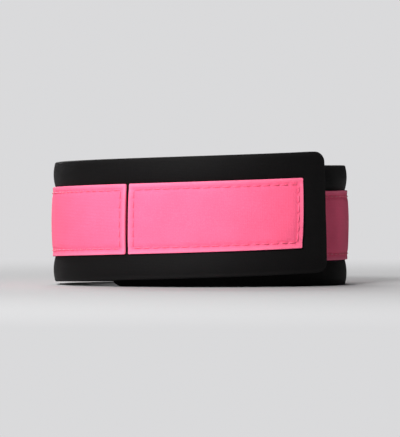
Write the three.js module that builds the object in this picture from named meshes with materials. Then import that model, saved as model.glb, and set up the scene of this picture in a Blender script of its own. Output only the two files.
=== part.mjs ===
// A bicep band: a black neoprene strap with a bright pink stripe sewn along its outer face.
// The strap goes once round and laps over itself, and a hook-and-loop pad between the two layers holds it shut.
// It stands on its lower edge with its axis upright, the lapped side towards -Y.
// Lengths are in millimetres and angles in degrees. Angle 0 faces -Y and angle 90 faces +X.
import * as THREE from "three";

// Sizes of the strap, the stripe and the pad
const STRAP_HEIGHT = 38;
const STRAP_THICKNESS = 3.2;
const STRAP_EDGE_RADIUS = 0.9;
const END_CORNER_RADIUS = 4;
const STRIPE_HEIGHT = 22;
const STRIPE_THICKNESS = 1.1;
const PAD_HEIGHT = 22;
const PAD_THICKNESS = 1.8;
const THIN_EDGE_RADIUS = 0.3;

// The gap between pieces that lie on each other, and the wider one between the two lengths of stripe
const CLEARANCE = 0.3;
const SEAM_GAP = 1;

// The loop's width over the stripe
const OUTSIDE_WIDTH = 95.3;

// Where things lie round the loop, from the covered end of the strap to the end of the tab
const COVERED_END = -45;
const COVERED_STRIPE_END = -37;
const CLIMB_START = 200;
const PAD_START = 328;
const SEAM = 331;
const TAB_STRIPE_END = 397;
const PAD_END = 401;
const TAB_END = 408.5;

// The tab is closed a little askew, so it leaves the flat edge at the back and climbs this far to its end
const TAB_RISE = 4.5;
const CLIMB_POWER = 1.5;

// The longest step between two sections, and the steps in a rounded end corner and a rounded edge
const LONGEST_STEP = 4;
const CORNER_STEPS = 4;
const EDGE_STEPS = 2;

// Distances out from the middle of the strap's wall, and from one layer to the next
const STRIPE_INNER = STRAP_THICKNESS / 2 + CLEARANCE;
const STRIPE_OUTER = STRIPE_INNER + STRIPE_THICKNESS;
const PAD_INNER = STRIPE_OUTER + CLEARANCE;
const PAD_OUTER = PAD_INNER + PAD_THICKNESS;
const LAYER_PITCH = PAD_OUTER + CLEARANCE + STRAP_THICKNESS / 2;

// The wall's mid radius at the back, halfway between the loop's left and right sides
const BACK = 180;
const FULL_TURN = 360;
const BACK_RADIUS = OUTSIDE_WIDTH / 2 - STRIPE_OUTER;

const QUARTER_TURN = Math.PI / 2;

// The wall winds outwards by one layer pitch each turn, so that the tab clears the layer beneath it.
function wallRadius(angle) {
  return BACK_RADIUS + (LAYER_PITCH * (angle - BACK)) / FULL_TURN;
}

// How far the wall has climbed at an angle, and how steeply it climbs there, in radians.
function climbAt(angle) {
  const share = Math.max(0, angle - CLIMB_START) / (TAB_END - CLIMB_START);
  const climbLength = wallRadius(angle) * THREE.MathUtils.degToRad(TAB_END - CLIMB_START);
  return {
    rise: TAB_RISE * share ** CLIMB_POWER,
    slope: Math.atan((TAB_RISE * CLIMB_POWER * share ** (CLIMB_POWER - 1)) / climbLength),
  };
}

// The middle of the wall at an angle, with its directions out of the loop and across the strap's height.
function frameAt(angle) {
  const turn = THREE.MathUtils.degToRad(angle);
  const out = new THREE.Vector3(Math.sin(turn), -Math.cos(turn), 0);
  const along = new THREE.Vector3(Math.cos(turn), Math.sin(turn), 0);
  const { rise, slope } = climbAt(angle);
  const centre = out.clone().multiplyScalar(wallRadius(angle));
  centre.z = STRAP_HEIGHT / 2 + rise;
  const across = new THREE.Vector3(0, 0, Math.cos(slope)).addScaledVector(along, -Math.sin(slope));
  return { centre, out, across };
}

// The angle that a length along the wall takes up there.
function angleOf(length, angle) {
  return THREE.MathUtils.radToDeg(length / wallRadius(angle));
}

// The rounded outline of a wall's section: x is the distance out and y the height.
function wallSection(inner, outer, halfHeight, edgeRadius) {
  const high = halfHeight - edgeRadius;
  const corners = [
    { x: outer - edgeRadius, y: -high, quarter: -1 },
    { x: outer - edgeRadius, y: high, quarter: 0 },
    { x: inner + edgeRadius, y: high, quarter: 1 },
    { x: inner + edgeRadius, y: -high, quarter: 2 },
  ];
  const outline = [];
  for (const { x, y, quarter } of corners) {
    for (let step = 0; step <= EDGE_STEPS; step += 1) {
      const turn = (quarter + step / EDGE_STEPS) * QUARTER_TURN;
      outline.push(new THREE.Vector2(x + edgeRadius * Math.cos(turn), y + edgeRadius * Math.sin(turn)));
    }
  }
  return outline;
}

// Where the sections of one rounded end stand, from the end inwards, and how much it trims off their half height.
function endSections(end, inwards, cornerRadius) {
  if (cornerRadius === 0) {
    return [{ angle: end, trim: 0 }];
  }
  const sections = [];
  for (let step = 0; step <= CORNER_STEPS; step += 1) {
    const turn = (step / CORNER_STEPS) * QUARTER_TURN;
    sections.push({
      angle: end + inwards * angleOf(cornerRadius * (1 - Math.cos(turn)), end),
      trim: cornerRadius * (1 - Math.sin(turn)),
    });
  }
  return sections;
}

// Where all the sections of a wall stand, from one end to the other.
function wallSections(from, to, cornerRadius) {
  const first = endSections(from, 1, cornerRadius);
  const last = endSections(to, -1, cornerRadius).reverse();
  const evenFrom = first.at(-1).angle;
  const evenTo = last[0].angle;
  const steps = Math.ceil((evenTo - evenFrom) / LONGEST_STEP);
  const between = [];
  for (let step = 1; step < steps; step += 1) {
    between.push({ angle: evenFrom + ((evenTo - evenFrom) * step) / steps, trim: 0 });
  }
  return [...first, ...between, ...last];
}

// A wall that follows the strap, lofted through its sections and closed at both ends.
function bentWall({ from, to, inner, outer, height, edgeRadius, cornerRadius = 0 }) {
  const points = [];
  const sections = wallSections(from, to, cornerRadius);
  for (const { angle, trim } of sections) {
    const { centre, out, across } = frameAt(angle);
    for (const { x, y } of wallSection(inner, outer, height / 2 - trim, edgeRadius)) {
      points.push(centre.clone().addScaledVector(out, x).addScaledVector(across, y));
    }
  }

  const perSection = points.length / sections.length;
  const lastSection = points.length - perSection;
  const faces = [];
  for (let here = 0; here < lastSection; here += perSection) {
    const there = here + perSection;
    for (let corner = 0; corner < perSection; corner += 1) {
      const next = (corner + 1) % perSection;
      faces.push(here + corner, there + corner, there + next);
      faces.push(here + corner, there + next, here + next);
    }
  }
  for (let corner = 1; corner < perSection - 1; corner += 1) {
    faces.push(0, corner, corner + 1);
    faces.push(lastSection, lastSection + corner + 1, lastSection + corner);
  }

  const geometry = new THREE.BufferGeometry().setFromPoints(points);
  geometry.setIndex(faces);
  geometry.computeVertexNormals();
  return geometry;
}

function piece(name, material, wall) {
  const mesh = new THREE.Mesh(bentWall(wall), material);
  mesh.name = name;
  return mesh;
}

// One length of neoprene from its covered end to the end of the tab.
function strap() {
  const neoprene = new THREE.MeshStandardMaterial({ color: 0x1b1b1c, roughness: 0.85, metalness: 0 });
  return piece("strap", neoprene, {
    from: COVERED_END,
    to: TAB_END,
    inner: -STRAP_THICKNESS / 2,
    outer: STRAP_THICKNESS / 2,
    height: STRAP_HEIGHT,
    edgeRadius: STRAP_EDGE_RADIUS,
    cornerRadius: END_CORNER_RADIUS,
  });
}

// The stripe is two lengths that meet end to end at the seam.
function stripe(name, from, to) {
  const pink = new THREE.MeshStandardMaterial({ color: 0xfd78a3, roughness: 0.6, metalness: 0 });
  return piece(name, pink, {
    from,
    to,
    inner: STRIPE_INNER,
    outer: STRIPE_OUTER,
    height: STRIPE_HEIGHT,
    edgeRadius: THIN_EDGE_RADIUS,
  });
}

// The hook-and-loop pad hangs on the inside of the tab, which is one layer out from the stripe that it grips.
function fasteningPad() {
  const tape = new THREE.MeshStandardMaterial({ color: 0x141414, roughness: 0.95, metalness: 0 });
  return piece("fastening_pad", tape, {
    from: PAD_START,
    to: PAD_END,
    inner: PAD_INNER - LAYER_PITCH,
    outer: PAD_OUTER - LAYER_PITCH,
    height: PAD_HEIGHT,
    edgeRadius: THIN_EDGE_RADIUS,
  });
}

const halfSeam = angleOf(SEAM_GAP / 2, SEAM);
const band = new THREE.Group();
band.name = "bicep_band";
band.add(
  strap(),
  stripe("band_stripe", COVERED_STRIPE_END, SEAM - halfSeam),
  stripe("tab_stripe", SEAM + halfSeam, TAB_STRIPE_END),
  fasteningPad(),
);

// The origin is the middle of the footprint, on the surface that the band stands on.
const bounds = new THREE.Box3().setFromObject(band);
const middle = bounds.getCenter(new THREE.Vector3());
band.position.set(-middle.x, -middle.y, -bounds.min.z);

export default band;
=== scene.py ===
"""A bicep band: a padded black strap with a pink stripe, lapped over itself and closed by a hidden pad.

A place on the band is a length along the strap, a height from its middle line and a distance out from the
middle of its wall, all in millimetres. strip_place turns them into metres in the model's frame.
"""

import math

import bpy
import numpy as np
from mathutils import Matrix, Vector


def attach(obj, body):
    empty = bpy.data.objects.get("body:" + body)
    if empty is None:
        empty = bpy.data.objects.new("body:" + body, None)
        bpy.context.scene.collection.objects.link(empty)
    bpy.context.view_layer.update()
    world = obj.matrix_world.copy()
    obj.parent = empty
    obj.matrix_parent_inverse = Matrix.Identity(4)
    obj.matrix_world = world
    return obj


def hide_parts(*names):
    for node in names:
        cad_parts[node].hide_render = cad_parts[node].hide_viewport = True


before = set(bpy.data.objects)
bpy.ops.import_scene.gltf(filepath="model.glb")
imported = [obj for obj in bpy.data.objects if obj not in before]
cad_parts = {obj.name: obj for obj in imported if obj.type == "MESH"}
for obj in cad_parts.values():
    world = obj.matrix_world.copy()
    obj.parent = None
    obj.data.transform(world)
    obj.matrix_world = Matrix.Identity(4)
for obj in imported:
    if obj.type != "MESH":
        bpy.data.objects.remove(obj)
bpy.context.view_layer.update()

MM = 0.001

# Sizes of the strap, the stripe and the pad, as in the model
STRAP_HEIGHT = 38.0
STRAP_THICKNESS = 3.2
END_CORNER_RADIUS = 4.0
STRIPE_HEIGHT = 22.0
STRIPE_THICKNESS = 1.1
PAD_HEIGHT = 22.0
PAD_THICKNESS = 1.8
CLEARANCE = 0.3
SEAM_GAP = 1.0
OUTSIDE_WIDTH = 95.3

# Where things lie round the loop, in degrees from the front
COVERED_END = -45.0
COVERED_STRIPE_END = -37.0
CLIMB_START = 200.0
SLANT_START = 300.0
PAD_START = 328.0
SEAM = 331.0
TAB_STRIPE_END = 397.0
PAD_END = 401.0
TAB_END = 408.5

# How the tab climbs to its end, and how far its free end lifts beyond the pad
TAB_RISE = 4.5
CLIMB_POWER = 1.5
TAB_LIFT = 0.35

# How far the seam and the tab stripe's end slant along the strap for each millimetre of height
SEAM_SLANT = 0.047

# The wall's spiral
STRIPE_OUTER = STRAP_THICKNESS / 2 + CLEARANCE + STRIPE_THICKNESS
BACK_RADIUS = OUTSIDE_WIDTH / 2 - STRIPE_OUTER
LAYER_PITCH = STRAP_THICKNESS + 3 * CLEARANCE + STRIPE_THICKNESS + PAD_THICKNESS
FRONT_RADIUS = BACK_RADIUS - LAYER_PITCH / 2
GROWTH = LAYER_PITCH / math.tau
CENTRE = LAYER_PITCH / 4

# How far the loop is out of round, in two, three and six waves to a turn
TWO_WAVES = 0.5
THREE_WAVES = 0.2
SIX_WAVES = 0.06

# Stitches that hold the stripe
STITCH_INSET = 1.9
STITCH_PITCH = 3.0
ROW_HEIGHT = STRIPE_HEIGHT / 2 - STITCH_INSET
STITCHES_UP = round(2 * ROW_HEIGHT / STITCH_PITCH)
GROOVE_WIDTH = 0.8

# The strap's outer face: its seat under the stripe, and its margin, which swells in most of a half wave
SEAT_LEVEL = 1.4
SEAT_FILL = 0.06
SEAT_DIMPLE = 0.06
MARGIN_SWELL = 0.78
MARGIN_POWER = 0.8
MARGIN_WAVE = (0.03, 0.93)
NARROWEST_MARGIN = 0.1

# The strap's inner face
INNER_LEVEL = -1.5
INNER_CROWN = 0.08
INNER_GROOVE = 0.16
INNER_DIMPLE = 0.12
CREASE_DEPTH = 0.035

# The stripe's two faces
STRIPE_BED = 0.02
STRIPE_EDGE_LEVEL = 2.42
STRIPE_SWELL = 0.4
STRIPE_POWER = 0.7
STRIPE_GROOVE = 0.14
STRIPE_DIMPLE = 0.15

# Shallow waves in the cloth: (depth, turn for each millimetre along, the same for height, start)
STRAP_WAVES = ((0.04, 0.23, 0.35, 0.0), (0.03, 0.61, -0.2, 0.0))
STRIPE_WAVES = ((0.035, 0.19, 0.4, 0.0), (0.02, 0.47, -0.31, 1.0))


def wall_length(angle):
    """The length along the wall's middle from the front to an angle in degrees."""
    turn = math.radians(angle)
    return FRONT_RADIUS * turn + GROWTH * turn**2 / 2


def out_of_round(turn):
    """How far the wall stands off its spiral. It goes by direction alone, so the layers keep their gap."""
    return TWO_WAVES * np.sin(2 * turn) + THREE_WAVES * np.cos(3 * turn) + SIX_WAVES * np.sin(6 * turn)


def slant_share(length):
    """How much of the slant a place has: all of it on the tab stripe, fading away before and after it."""
    fade_in = (length - wall_length(SLANT_START)) / (wall_length(SEAM) - wall_length(SLANT_START))
    fade_out = (wall_length(TAB_END) - length) / (wall_length(TAB_END) - wall_length(TAB_STRIPE_END))
    share = np.clip(np.minimum(fade_in, fade_out), 0, 1)
    return share**2 * (3 - 2 * share)


def strip_place(length, height, out):
    """Points in the model's frame, in metres."""
    length = length + SEAM_SLANT * slant_share(length) * height
    turn = (np.sqrt(FRONT_RADIUS**2 + 2 * GROWTH * length) - FRONT_RADIUS) / GROWTH
    radius = FRONT_RADIUS + GROWTH * turn
    climb_start, pad_end, tab_end = (math.radians(angle) for angle in (CLIMB_START, PAD_END, TAB_END))
    share = np.clip((turn - climb_start) / (tab_end - climb_start), 0, None)
    rise = TAB_RISE * share**CLIMB_POWER
    steepness = TAB_RISE * CLIMB_POWER * share ** (CLIMB_POWER - 1) / (tab_end - climb_start)
    slope = np.arctan(steepness / radius)
    free = np.clip((turn - pad_end) / (tab_end - pad_end), 0, None)
    outwards = radius + out_of_round(turn) + TAB_LIFT * free**2 + out
    lean = -height * np.sin(slope)
    x = outwards * np.sin(turn) + lean * np.cos(turn) + CENTRE
    y = -outwards * np.cos(turn) + lean * np.sin(turn) + CENTRE
    z = STRAP_HEIGHT / 2 + rise + height * np.cos(slope)
    return np.stack(np.broadcast_arrays(x, y, z), -1) * MM


# Where the strap, the whole stripe and its two pieces start and end, as lengths along the strap
STRAP_SPAN = (wall_length(COVERED_END), wall_length(TAB_END))
STRIPED_SPAN = (wall_length(COVERED_STRIPE_END), wall_length(TAB_STRIPE_END))
STRIPES = {
    "band_stripe": (STRIPED_SPAN[0], wall_length(SEAM) - SEAM_GAP / 2),
    "tab_stripe": (wall_length(SEAM) + SEAM_GAP / 2, STRIPED_SPAN[1]),
}


def beyond_span(place, span):
    """How far a place lies outside a span."""
    return np.maximum(np.maximum(span[0] - place, place - span[1]), 0)


def stitch_row(start, end):
    """The first hole of a row along the stripe, the last one and the stitches between them."""
    first, last = start + STITCH_INSET, end - STITCH_INSET
    return first, last, round((last - first) / STITCH_PITCH)


def row_pull(off_row, place, first, last, count):
    """How deeply one row of stitches draws a place in, from 0 to 1: (its groove, the dimples at its holes).

    off_row is the place's distance from the row, and first and last are the row's two end holes.
    """
    groove = np.exp(-((off_row / GROOVE_WIDTH) ** 2))
    phase = (place - first) / (last - first) * count
    holes = (0.5 + 0.5 * np.cos(math.tau * phase)) ** 2
    return groove, groove * holes


def stitch_pull(length, height):
    """How deeply all the rows together draw a place in, from 0 to 1: (the groove, the dimple)."""
    pulls = []
    for start, end in STRIPES.values():
        first, last, count = stitch_row(start, end)
        off_row = np.hypot(np.abs(height) - ROW_HEIGHT, beyond_span(length, (first, last)))
        pulls.append(row_pull(off_row, length, first, last, count))
        for end_row in (first, last):
            off_row = np.hypot(length - end_row, beyond_span(height, (-ROW_HEIGHT, ROW_HEIGHT)))
            pulls.append(row_pull(off_row, height, -ROW_HEIGHT, ROW_HEIGHT, STITCHES_UP))
    grooves, dimples = zip(*pulls)
    return np.maximum.reduce(grooves), np.maximum.reduce(dimples)


def waves(length, height, table):
    """The height of shallow waves that run askew along the strap."""
    return sum(depth * np.sin(along * length + up * height + start) for depth, along, up, start in table)


def strap_outer(length, height):
    """The strap's outer face: pressed flat under the stripe, with a margin that swells like a pad."""
    above_stripe = np.maximum(np.abs(height) - STRIPE_HEIGHT / 2, 0)
    off_stripe = np.hypot(above_stripe, beyond_span(length, STRIPED_SPAN))
    to_end = np.minimum(length - STRAP_SPAN[0], STRAP_SPAN[1] - length)
    to_edge = np.maximum(np.minimum(STRAP_HEIGHT / 2 - np.abs(height), to_end), 0)
    across = off_stripe / np.maximum(off_stripe + to_edge, NARROWEST_MARGIN)
    swell = np.sin(math.pi * np.interp(across, (0, 1), MARGIN_WAVE)) ** MARGIN_POWER
    margin = MARGIN_SWELL * swell + waves(length, height, STRAP_WAVES) * across
    _, dimple = stitch_pull(length, height)
    return SEAT_LEVEL + np.where(off_stripe > 0, margin, SEAT_FILL) - SEAT_DIMPLE * dimple


def strap_inner(length, height):
    """The strap's inner face, drawn in along its stitches and slightly creased by the bend."""
    groove, dimple = stitch_pull(length, height)
    crown = INNER_CROWN * np.cos(math.pi * height / STRAP_HEIGHT)
    fine_creases = np.sin(1.31 * length + 0.5 * np.sin(0.3 * height))
    patches = np.sin(0.17 * length + 0.12 * height)
    creases = CREASE_DEPTH * fine_creases * patches
    return INNER_LEVEL - crown + creases + INNER_GROOVE * groove + INNER_DIMPLE * dimple


def stripe_inner(length, height):
    """The stripe's inner face, which lies on the pressed part of the strap."""
    pressed = ROW_HEIGHT + 1
    return strap_outer(length, np.clip(height, -pressed, pressed)) + STRIPE_BED


def stripe_outer(length, height):
    """The stripe's outer face, which swells a little between its stitches."""
    groove, dimple = stitch_pull(length, height)
    swell = STRIPE_SWELL * np.clip(1 - (np.abs(height) / ROW_HEIGHT) ** 2, 0, 1) ** STRIPE_POWER
    level = STRIPE_EDGE_LEVEL + swell + waves(length, height, STRIPE_WAVES)
    return level - STRIPE_GROOVE * groove - STRIPE_DIMPLE * dimple


def level_face(out):
    """A face that keeps one distance from the middle of the wall."""
    return lambda length, height: np.full(np.shape(height), out)


def feed(tree, made, inputs):
    """Sets a node's sockets. inputs maps each name or number to a value or to the output that feeds it."""
    for name, value in dict(inputs).items():
        if isinstance(value, bpy.types.NodeSocket):
            tree.links.new(value, made.inputs[name])
        else:
            made.inputs[name].default_value = value


def node(tree, kind, inputs=(), **settings):
    """Adds a shader node."""
    made = tree.nodes.new(kind)
    for name, value in settings.items():
        setattr(made, name, value)
    feed(tree, made, inputs)
    return made


def maths(tree, operation, *values):
    """The result of one sum on values or outputs."""
    return node(tree, "ShaderNodeMath", dict(enumerate(values)), operation=operation).outputs[0]


def plus_shares(tree, start, *shares):
    """A start value plus a share of each output, from (output, share) pairs."""
    total = start
    for output, share in shares:
        total = maths(tree, "MULTIPLY_ADD", output, share, total)
    return total


def noise(tree, place, scale, detail):
    """Soft noise from 0 to 1. A larger scale makes it finer."""
    return node(tree, "ShaderNodeTexNoise", {"Vector": place, "Scale": scale, "Detail": detail}).outputs[0]


def ramp(tree, value, low, high, **settings):
    """0 where the value is low, 1 where it is high, and rising between them."""
    inputs = {"Value": value, "From Min": low, "From Max": high}
    return node(tree, "ShaderNodeMapRange", inputs, **settings).outputs[0]


def toned(tree, colour, tone):
    """A colour made darker or lighter by a tone."""
    mixed = node(
        tree,
        "ShaderNodeMix",
        {"Factor": 1.0, "A": (*colour, 1.0), "B": tone},
        data_type="RGBA",
        blend_type="MULTIPLY",
    )
    return mixed.outputs["Result"]


def relief(tree, *layers):
    """The normal of (height, strength, depth in millimetres) layers, each on top of the last."""
    below = {}
    for height, strength, depth in layers:
        inputs = {"Height": height, "Strength": strength, "Distance": depth * MM, **below}
        below = {"Normal": node(tree, "ShaderNodeBump", inputs).outputs[0]}
    return below["Normal"]


def new_material(name):
    """An empty material: (material, its tree, its Principled shader)."""
    material = bpy.data.materials.new(name)
    material.use_nodes = True
    return material, material.node_tree, material.node_tree.nodes["Principled BSDF"]


def strip_coordinates(tree):
    """The place in the strip in millimetres, as a vector and as its parts along, across and through it."""
    place = node(tree, "ShaderNodeAttribute", attribute_name="strip").outputs["Vector"]
    parts = node(tree, "ShaderNodeSeparateXYZ", {0: place})
    return place, *parts.outputs


# Sizes of the cloths' patterns, in millimetres
KNIT_WALE = 0.46
KNIT_COURSE = 0.56
THREAD_TWIST = 0.55
WEAVE_ALONG = 0.7
WEAVE_ACROSS = 0.5


def knit_height(tree, along, across):
    """The relief of a fine jersey: rows of small slanted loops, from 0 in the gaps to 1 on the loops."""
    row = maths(tree, "FRACT", maths(tree, "DIVIDE", across, KNIT_WALE))
    side = maths(tree, "ABSOLUTE", plus_shares(tree, -1.0, (row, 2.0)))
    slant = plus_shares(tree, maths(tree, "DIVIDE", along, KNIT_COURSE), (side, 0.5))
    wave = maths(tree, "SINE", maths(tree, "MULTIPLY", slant, math.tau))
    loops = plus_shares(tree, 0.5, (wave, 0.5))
    rib = maths(tree, "SUBTRACT", 1.0, maths(tree, "POWER", side, 4.0))
    return maths(tree, "MULTIPLY", rib, plus_shares(tree, 0.45, (loops, 0.55)))


def knit_material(name, colour, worn, roughness, sheen, tint):
    """Fine knit over foam. colour is the cloth's own, and worn its colour where it is rubbed."""
    material, tree, shader = new_material(name)
    place, along, across, _ = strip_coordinates(tree)
    knit = knit_height(tree, along, across)
    cloud = noise(tree, place, scale=0.11, detail=3.0)
    fluff = noise(tree, place, scale=2.6, detail=5.0)
    # The cloth's colour is darkened in the knit's gaps as painted shade, and varies at random in soft
    # clouds
    unworn_gap_shaded = toned(tree, colour, plus_shares(tree, 0.8, (knit, 0.16), (cloud, 0.16)))

    rim = node(tree, "ShaderNodeAttribute", attribute_name="rim").outputs["Fac"]
    edge_wear = ramp(tree, rim, low=1.5, high=0.5)
    rub = plus_shares(tree, maths(tree, "POWER", fluff, 3.0), (edge_wear, 0.55))
    rub = maths(tree, "MULTIPLY", rub, plus_shares(tree, 0.4, (cloud, 0.8)))
    cloth = node(
        tree,
        "ShaderNodeMix",
        {"Factor": maths(tree, "MINIMUM", rub, 1.0), "A": unworn_gap_shaded, "B": (*worn, 1.0)},
        data_type="RGBA",
    )
    feed(tree, shader, {
        "Base Color": cloth.outputs["Result"],
        "Roughness": plus_shares(tree, roughness - 0.1, (fluff, 0.2)),
        "Specular IOR Level": 0.06,
        "Sheen Weight": sheen,
        "Sheen Roughness": 0.45,
        "Sheen Tint": (*tint, 1.0),
        "Normal": relief(tree, (knit, 0.8, 0.07), (fluff, 0.6, 0.09)),
    })
    return material


def foam_material(name, colour):
    """The cut edge, where the foam's fine closed pores show between its two skins."""
    material, tree, shader = new_material(name)
    place, _, _, through = strip_coordinates(tree)
    core = ramp(tree, maths(tree, "ABSOLUTE", through), low=1.0, high=0.8)
    pores = node(tree, "ShaderNodeTexVoronoi", {"Vector": place, "Scale": 3.2}).outputs["Distance"]
    grain = noise(tree, place, scale=1.3, detail=4.0)
    # The foam's colour is darkened in its pores as painted shade, varies at random with the grain, and is
    # lighter in the core between the skins
    tone = plus_shares(tree, 0.45, (grain, 0.5), (pores, 0.8))
    tone = maths(tree, "MULTIPLY", tone, plus_shares(tree, 0.7, (core, 0.6)))
    feed(tree, shader, {
        "Base Color": toned(tree, colour, tone),
        "Roughness": 0.9,
        "Specular IOR Level": 0.25,
        "Normal": relief(tree, (pores, 0.9, 0.12)),
    })
    return material


def thread_material(name, colour):
    """Twisted thread. Its strip coordinates are the length along the thread and the turn round it."""
    material, tree, shader = new_material(name)
    _, along, round_it, _ = strip_coordinates(tree)
    twist = plus_shares(tree, maths(tree, "DIVIDE", along, THREAD_TWIST), (round_it, 2.0))
    ply = maths(tree, "ABSOLUTE", maths(tree, "SINE", maths(tree, "MULTIPLY", twist, math.pi)))
    # The thread's colour is darkened in the grooves between its plies as painted shade
    feed(tree, shader, {
        "Base Color": toned(tree, colour, plus_shares(tree, 0.65, (ply, 0.35))),
        "Roughness": 0.5,
        "Sheen Weight": 0.15,
        "Normal": relief(tree, (ply, 0.7, 0.08)),
    })
    return material


def tape_material(name, colour):
    """Woven tape with a coarse nap, for the hook and the loop halves of the pad."""
    material, tree, shader = new_material(name)
    place, along, across, _ = strip_coordinates(tree)
    warp = maths(tree, "SINE", maths(tree, "MULTIPLY", along, math.tau / WEAVE_ALONG))
    weft = maths(tree, "SINE", maths(tree, "MULTIPLY", across, math.tau / WEAVE_ACROSS))
    weave = maths(tree, "MULTIPLY", warp, weft)
    nap = noise(tree, place, scale=3.5, detail=6.0)
    feed(tree, shader, {
        "Base Color": toned(tree, colour, plus_shares(tree, 0.4, (nap, 1.2))),
        "Roughness": 0.8,
        "Sheen Weight": 0.25,
        "Normal": relief(tree, (weave, 0.6, 0.1), (nap, 0.8, 0.15)),
    })
    return material


def add_mesh(name, points, faces, places, materials, slots=None, rim=None):
    """A smooth mesh object that rides on the one body.

    Its attributes are its strip coordinates and, where rim is given, the distance in from its outline.
    """
    mesh = bpy.data.meshes.new(name)
    mesh.from_pydata(points.reshape(-1, 3).tolist(), [], faces)
    strip = mesh.attributes.new("strip", "FLOAT_VECTOR", "POINT")
    strip.data.foreach_set("vector", places.astype(np.float32).ravel())
    if rim is not None:
        inwards = mesh.attributes.new("rim", "FLOAT", "POINT")
        inwards.data.foreach_set("value", rim.astype(np.float32).ravel())
    for material in materials:
        mesh.materials.append(material)
    if slots is not None:
        mesh.polygons.foreach_set("material_index", slots)
    mesh.shade_smooth()
    piece = bpy.data.objects.new(name, mesh)
    bpy.context.scene.collection.objects.link(piece)
    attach(piece, "root")
    return piece


# How finely a strip's rounded ends, its corners and its long edges are stepped
END_STEPS = 5
CORNER_STEPS = 10
EDGE_STEPS = 4

# The most of a strip's thickness that the rounding of a long edge takes up from one face
EDGE_SHARE = 0.45

# A strip's material slots
FACE_SLOT = 0
EDGE_SLOT = 1


def end_depths(radius, steps):
    """Distances in from an end, from 0 to radius, closest together at the end."""
    return radius * (1 - np.cos(np.linspace(0, math.pi / 2, steps + 1)))


def rounding(depth, radius):
    """How far an edge rounded to a radius falls back, at a depth in from the edge."""
    inside = np.clip(radius - depth, 0, radius)
    return radius - np.sqrt(radius**2 - inside**2)


def strip_lengths(span, end_edges, corner, spacing):
    """Where a strip's sections stand, from its start to its end."""
    start, end = span
    near, far = (
        np.unique(np.concatenate([end_depths(edge, END_STEPS), end_depths(corner, CORNER_STEPS)]).round(3))
        for edge in end_edges
    )
    steps = math.ceil((end - start - near[-1] - far[-1]) / spacing)
    middle = np.linspace(start + near[-1], end - far[-1], steps + 1)
    return np.concatenate([start + near[:-1], middle, end - far[-2::-1]])


def round_long_edges(half, reach, outer, inner, edge):
    """The heights and distances out of a strip's sections, up its outer face and down its inner one."""
    bends = np.linspace(0, math.pi / 2, EDGE_STEPS + 1)[:-1]
    turn_in, turn_down = 1 - np.sin(bends), edge * (1 - np.cos(bends))
    low = turn_down - half
    heights_up = np.hstack([low, reach, -low[:, ::-1]])
    most = np.minimum(edge, EDGE_SHARE * (outer - inner))
    low_turn = most[:, :1] * turn_in
    high_turn = most[:, -1:] * turn_in[::-1]
    outer_up = np.hstack([outer[:, :1] - low_turn, outer, outer[:, -1:] - high_turn])
    inner_up = np.hstack([inner[:, :1] + low_turn, inner, inner[:, -1:] + high_turn])
    return np.hstack([heights_up, heights_up[:, ::-1]]), np.hstack([outer_up, inner_up[:, ::-1]])


def strip_faces(sections, around):
    """A closed strip's faces, along it and then across its two ends, and the material slot of each."""
    faces, slots = [], []
    for section in range(sections - 1):
        here = section * around
        there = here + around
        for corner in range(around):
            following = (corner + 1) % around
            faces.append((here + corner, there + corner, there + following, here + following))
            slots.append(EDGE_SLOT if following in (0, around // 2) else FACE_SLOT)
    last = (sections - 1) * around
    for rung in range(around // 2 - 1):
        back = around - 1 - rung
        faces.append((rung, rung + 1, back - 1, back))
        faces.append((last + rung, last + back, last + back - 1, last + rung + 1))
        slots += [EDGE_SLOT, EDGE_SLOT]
    return faces, slots


def padded_strip(name, span, height, faces_at, edge, end_edges, corner, spacing, heights, materials):
    """A strip that follows the strap.

    span is where it starts and ends. faces_at is its outer and inner face, as functions of length and
    height. edge rounds its long edges, end_edges the outer face's two ends, and corner its corners seen
    flat. spacing is the step along it, and heights are the steps across it, from -1 to 1. materials are
    those of its faces and its edges.
    """
    lengths = strip_lengths(span, end_edges, corner, spacing)[:, None]
    from_start, from_end = lengths - span[0], span[1] - lengths
    depth = np.minimum(from_start, from_end)
    half = height / 2 - rounding(depth, corner)
    reach = (half - edge) * heights
    outer_fall = rounding(from_start, end_edges[0]) + rounding(from_end, end_edges[1])
    outer = faces_at[0](lengths, reach) - outer_fall
    inner = faces_at[1](lengths, reach) + rounding(depth, edge)
    across, out = round_long_edges(half, reach, outer, inner, edge)
    along = np.broadcast_to(lengths, across.shape)
    faces, slots = strip_faces(*across.shape)
    places = np.stack([along, across, out], -1)
    rim = np.minimum(half - np.abs(across), depth)
    return add_mesh(name, strip_place(along, across, out), faces, places, materials, slots, rim)


def spread_heights(half_height, spacing, close_to=(), close_spacing=0.2):
    """Steps across a face from -1 to 1, closer together near the given heights."""
    reach = 1.6
    least = 0.7 * close_spacing
    steps = [np.linspace(-half_height, half_height, round(2 * half_height / spacing) + 1)]
    for centre in close_to:
        steps.append(np.linspace(centre - reach, centre + reach, round(2 * reach / close_spacing) + 1))
    merged = np.unique(np.concatenate(steps).clip(-half_height, half_height).round(3))
    kept = [merged[0]]
    for step in merged[1:-1]:
        if step - kept[-1] > least and merged[-1] - step > least:
            kept.append(step)
    return np.array([*kept, merged[-1]]) / half_height


# A stitch's thread: its size, the share of the way between two holes that it covers, and its bend
THREAD_RADIUS = 0.2
THREAD_TAPER = 0.3
THREAD_SHARE = 0.97
THREAD_LIFT = 0.16
THREAD_BOW = 0.1
THREAD_DIVE = 0.4
THREAD_RINGS = 9
THREAD_SIDES = 8


def stitch_lines(start, end):
    """Each stitch round a stripe, as (start length, start height, end length, end height)."""
    first, last, count = stitch_row(start, end)
    along = np.linspace(first, last, count + 1)
    upwards = np.linspace(-ROW_HEIGHT, ROW_HEIGHT, STITCHES_UP + 1)
    lines = []
    for height in (-ROW_HEIGHT, ROW_HEIGHT):
        lines += [(here, height, there, height) for here, there in zip(along, along[1:])]
    for length in (first, last):
        lines += [(length, low, length, high) for low, high in zip(upwards, upwards[1:])]
    return lines


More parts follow.
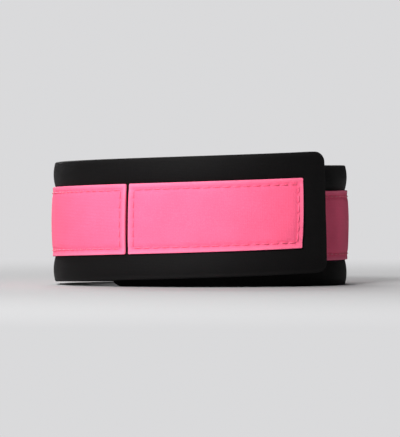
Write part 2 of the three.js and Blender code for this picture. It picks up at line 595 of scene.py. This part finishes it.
def thread_faces(count):
    """The faces of each thread: quads round it and a cap at each end, turned for the strap's inner side."""
    faces = []
    for base in range(0, count * THREAD_RINGS * THREAD_SIDES, THREAD_RINGS * THREAD_SIDES):
        for ring in range(THREAD_RINGS - 1):
            here = base + ring * THREAD_SIDES
            there = here + THREAD_SIDES
            for corner in range(THREAD_SIDES):
                following = (corner + 1) % THREAD_SIDES
                faces.append((here + corner, there + corner, there + following, here + following))
        last = base + (THREAD_RINGS - 1) * THREAD_SIDES
        faces.append(tuple(range(base, base + THREAD_SIDES)))
        faces.append(tuple(reversed(range(last, last + THREAD_SIDES))))
    return faces


def stitches(name, lines, surface, side, material):
    """Every stitch as a short bent thread that rises out of one hole and dives into the next.

    side is 1 on a face that looks out of the loop and -1 on one that looks into it.
    """
    lines = np.array(lines)
    share = np.linspace(-1, 1, THREAD_RINGS)[None, :, None]
    turn = np.linspace(0, math.tau, THREAD_SIDES, endpoint=False)[None, None, :]
    begin, finish = lines[:, :2], lines[:, 2:]
    middle = ((begin + finish) / 2)[:, :, None, None]
    half = ((finish - begin) / 2)[:, :, None, None]
    size = np.hypot(half[:, 0], half[:, 1])
    run = half / size[:, None]
    radius = THREAD_RADIUS * (1 - THREAD_TAPER * share**6)
    sideways = radius * np.cos(turn)
    length = middle[:, 0] + half[:, 0] * share * THREAD_SHARE - run[:, 1] * sideways
    height = middle[:, 1] + half[:, 1] * share * THREAD_SHARE + run[:, 0] * sideways
    under = surface(middle[:, 0] + half[:, 0] * share, middle[:, 1] + half[:, 1] * share)
    lift = THREAD_LIFT - THREAD_BOW * share**2 - THREAD_DIVE * np.abs(share) ** 7
    out = under + side * (lift + radius * np.sin(turn))
    length, height, out = np.broadcast_arrays(length, height, out)

    faces = thread_faces(len(lines))
    if side > 0:
        faces = [face[::-1] for face in faces]
    thread_length = np.broadcast_to(share * size, length.shape)
    round_it = np.broadcast_to(turn / math.tau, length.shape)
    number = np.broadcast_to(np.arange(len(lines))[:, None, None], length.shape)
    places = np.stack([thread_length, round_it, number], -1)
    return add_mesh(name, strip_place(length, height, out), faces, places, [material])


# The band's cloths
black_knit = knit_material(
    "black_knit",
    colour=(0.0042, 0.0039, 0.004),
    worn=(0.009, 0.0084, 0.0086),
    roughness=0.6,
    sheen=0.008,
    tint=(0.85, 0.82, 0.83),
)
pink_knit = knit_material(
    "pink_knit",
    colour=(0.95, 0.115, 0.235),
    worn=(0.98, 0.22, 0.36),
    roughness=0.62,
    sheen=0.06,
    tint=(1.0, 0.5, 0.65),
)
black_foam = foam_material("black_foam", (0.016, 0.016, 0.017))
pink_foam = foam_material("pink_foam", (0.8, 0.07, 0.16))
pink_thread = thread_material("pink_thread", (0.97, 0.11, 0.23))
black_thread = thread_material("black_thread", (0.016, 0.016, 0.017))
black_tape = tape_material("black_tape", (0.013, 0.013, 0.013))

# The roundings of the strap's, the stripe's and the tape's edges
STRAP_EDGE = 0.6
STRIPE_EDGE = 0.25
STRIPE_SEAM_EDGE = 0.5
STRIPE_CORNER = 0.5
TAPE_EDGE = 0.2
TAPE_CORNER = 0.8

# The strap
row_heights = (-ROW_HEIGHT, ROW_HEIGHT)
stripe_edges = (-STRIPE_HEIGHT / 2, STRIPE_HEIGHT / 2)
strap = padded_strip(
    "padded_strap",
    STRAP_SPAN,
    STRAP_HEIGHT,
    (strap_outer, strap_inner),
    edge=STRAP_EDGE,
    end_edges=(STRAP_EDGE, STRAP_EDGE),
    corner=END_CORNER_RADIUS,
    spacing=0.95,
    heights=spread_heights(
        STRAP_HEIGHT / 2 - STRAP_EDGE,
        spacing=1.1,
        close_to=(*row_heights, *stripe_edges),
        close_spacing=0.4,
    ),
    materials=(black_knit, black_foam),
)
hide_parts("strap")

# The two lengths of stripe, each with its stitches
STRIPE_END_EDGES = {
    "band_stripe": (STRIPE_EDGE, STRIPE_SEAM_EDGE),
    "tab_stripe": (STRIPE_SEAM_EDGE, STRIPE_EDGE),
}
for stripe_name, span in STRIPES.items():
    stripe = padded_strip(
        f"pink_{stripe_name}",
        span,
        STRIPE_HEIGHT,
        (stripe_outer, stripe_inner),
        edge=STRIPE_EDGE,
        end_edges=STRIPE_END_EDGES[stripe_name],
        corner=STRIPE_CORNER,
        spacing=0.6,
        heights=spread_heights(
            STRIPE_HEIGHT / 2 - STRIPE_EDGE,
            spacing=0.9,
            close_to=row_heights,
            close_spacing=0.22,
        ),
        materials=(pink_knit, pink_foam),
    )
    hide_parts(stripe_name)
    row = stitches(
        f"{stripe_name}_stitches",
        stitch_lines(*span),
        stripe_outer,
        side=1,
        material=pink_thread,
    )

# The same stitches on the strap's inner face
inside_stitches = stitches(
    "inside_stitches",
    [line for span in STRIPES.values() for line in stitch_lines(*span)],
    strap_inner,
    side=-1,
    material=black_thread,
)

# The hook and the loop halves of the pad, and how far in from the tab each of them starts and ends
TAPES = {
    "hook_tape": (0.0, 1.0),
    "loop_tape": (1.05, PAD_THICKNESS + 2 * CLEARANCE),
}
pad_span = (wall_length(PAD_START), wall_length(PAD_END))
tab_inside = -STRAP_THICKNESS / 2
for tape_name, (near, far) in TAPES.items():
    tape = padded_strip(
        tape_name,
        pad_span,
        PAD_HEIGHT,
        (level_face(tab_inside - near), level_face(tab_inside - far)),
        edge=TAPE_EDGE,
        end_edges=(TAPE_EDGE, TAPE_EDGE),
        corner=TAPE_CORNER,
        spacing=1.5,
        heights=spread_heights(PAD_HEIGHT / 2 - TAPE_EDGE, spacing=1.5),
        materials=(black_tape, black_tape),
    )
    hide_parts("fastening_pad")

# The floor fades into an evenly pale room, which lights nothing. These sizes are in metres
INNER_FLOOR = 0.2
FLOOR_RADIUS = 0.9
FADE_START = 0.12
FADE_END = 0.5
ROOM_RADIUS = 4.0
ROOM_CORNER = 0.6
ROOM_WALL = 3.0
ROOM_TOP = 3.2
TOP_HOLE = 0.0001
ROOM_LIGHT = (0.70, 0.70, 0.71, 1.0)
TURN_STEPS = 96


def turned_mesh(name, profile, material, filled=False):
    """A surface turned about the upright axis from (radius, height) pairs. filled closes its first ring."""
    turns = np.linspace(0, math.tau, TURN_STEPS, endpoint=False)
    points = [(r * math.cos(t), r * math.sin(t), z) for r, z in profile for t in turns]
    faces = []
    for ring in range(len(profile) - 1):
        here = ring * TURN_STEPS
        there = here + TURN_STEPS
        for corner in range(TURN_STEPS):
            following = (corner + 1) % TURN_STEPS
            faces.append((here + corner, there + corner, there + following, here + following))
    if filled:
        faces.append(tuple(range(TURN_STEPS)))
    mesh = bpy.data.meshes.new(name)
    mesh.from_pydata(points, [], faces)
    mesh.shade_smooth()
    mesh.materials.append(material)
    made = bpy.data.objects.new(name, mesh)
    bpy.context.scene.collection.objects.link(made)
    return made


def floor_material():
    """Pale and matt round the band, fading to the room's even light."""
    material, tree, shader = new_material("pale_floor")
    feed(tree, shader, {
        "Base Color": (0.38, 0.38, 0.384, 1.0),
        "Roughness": 0.9,
        "Specular IOR Level": 0.1,
    })
    place = node(tree, "ShaderNodeTexCoord").outputs["Object"]
    far = node(tree, "ShaderNodeVectorMath", {0: place}, operation="LENGTH").outputs["Value"]
    fade = ramp(tree, far, FADE_START, FADE_END, interpolation_type="SMOOTHSTEP")
    glow = node(tree, "ShaderNodeEmission", {"Color": ROOM_LIGHT, "Strength": 1.0})
    mixed = node(tree, "ShaderNodeMixShader", {0: fade, 1: shader.outputs[0], 2: glow.outputs[0]})
    feed(tree, tree.nodes["Material Output"], {"Surface": mixed.outputs[0]})
    return material


def room_material():
    """The same pale light from everywhere."""
    material, tree, _ = new_material("pale_room")
    glow = node(tree, "ShaderNodeEmission", {"Color": ROOM_LIGHT, "Strength": 1.0})
    feed(tree, tree.nodes["Material Output"], {"Surface": glow.outputs[0]})
    return material


turned_mesh("floor", [(INNER_FLOOR, 0.0), (FLOOR_RADIUS, 0.0)], floor_material(), filled=True)
room_profile = [
    (FLOOR_RADIUS, 0.0),
    (ROOM_RADIUS, 0.0),
    (ROOM_RADIUS + ROOM_CORNER, ROOM_CORNER),
    (ROOM_RADIUS + ROOM_CORNER, ROOM_WALL),
    (TOP_HOLE, ROOM_TOP),
]
room = turned_mesh("room", room_profile, room_material())
room.visible_diffuse = False
room.visible_glossy = False
room.visible_shadow = False

# A little light from all round
world = bpy.data.worlds.new("soft_light")
bpy.context.scene.world = world
world.use_nodes = True
background = world.node_tree.nodes["Background"]
feed(world.node_tree, background, {"Color": (1.0, 1.0, 1.0, 1.0), "Strength": 0.04})


def direction_to(azimuth, elevation):
    """The direction from the band to a place round it. Azimuth 0 is in front of it and 90 on its right."""
    around, up = math.radians(azimuth), math.radians(elevation)
    return Vector((math.sin(around) * math.cos(up), -math.cos(around) * math.cos(up), math.sin(up)))


def stand_at(made, aim, direction, distance):
    """Sets a lamp or the camera at a distance from what it looks at."""
    made.location = aim + direction * distance
    made.rotation_mode = "QUATERNION"
    made.rotation_quaternion = direction.to_track_quat("Z", "Y")
    bpy.context.scene.collection.objects.link(made)


def soft_lamp(name, azimuth, elevation, distance, size, power):
    """A square area lamp that looks at the band."""
    light = bpy.data.lights.new(name, "AREA")
    light.shape = "SQUARE"
    light.size = size
    light.energy = power
    aim = Vector((0, 0, STRAP_HEIGHT / 2 * MM))
    stand_at(bpy.data.objects.new(name, light), aim, direction_to(azimuth, elevation), distance)


# Four soft lamps
soft_lamp("key", azimuth=-15, elevation=25, distance=1.0, size=0.2, power=13.5)
soft_lamp("top", azimuth=-90, elevation=68, distance=1.1, size=0.5, power=4)
soft_lamp("left_fill", azimuth=-70, elevation=18, distance=1.2, size=0.7, power=3.5)
soft_lamp("back", azimuth=-165, elevation=35, distance=1.0, size=0.6, power=8)

# A long lens, nearly level with the band and a touch to its right, with distances in metres
CAMERA_AZIMUTH = 0.9
CAMERA_ELEVATION = 0.6
CAMERA_DISTANCE = 1.86
CAMERA_LENS = 480.0
AIM_HEIGHT = 0.021

camera_data = bpy.data.cameras.new("camera")
camera_data.lens = CAMERA_LENS
camera = bpy.data.objects.new("camera", camera_data)
towards_camera = direction_to(CAMERA_AZIMUTH, CAMERA_ELEVATION)
stand_at(camera, Vector((0, 0, AIM_HEIGHT)), towards_camera, CAMERA_DISTANCE)
bpy.context.scene.camera = camera
bpy.context.scene.view_settings.view_transform = "Standard"
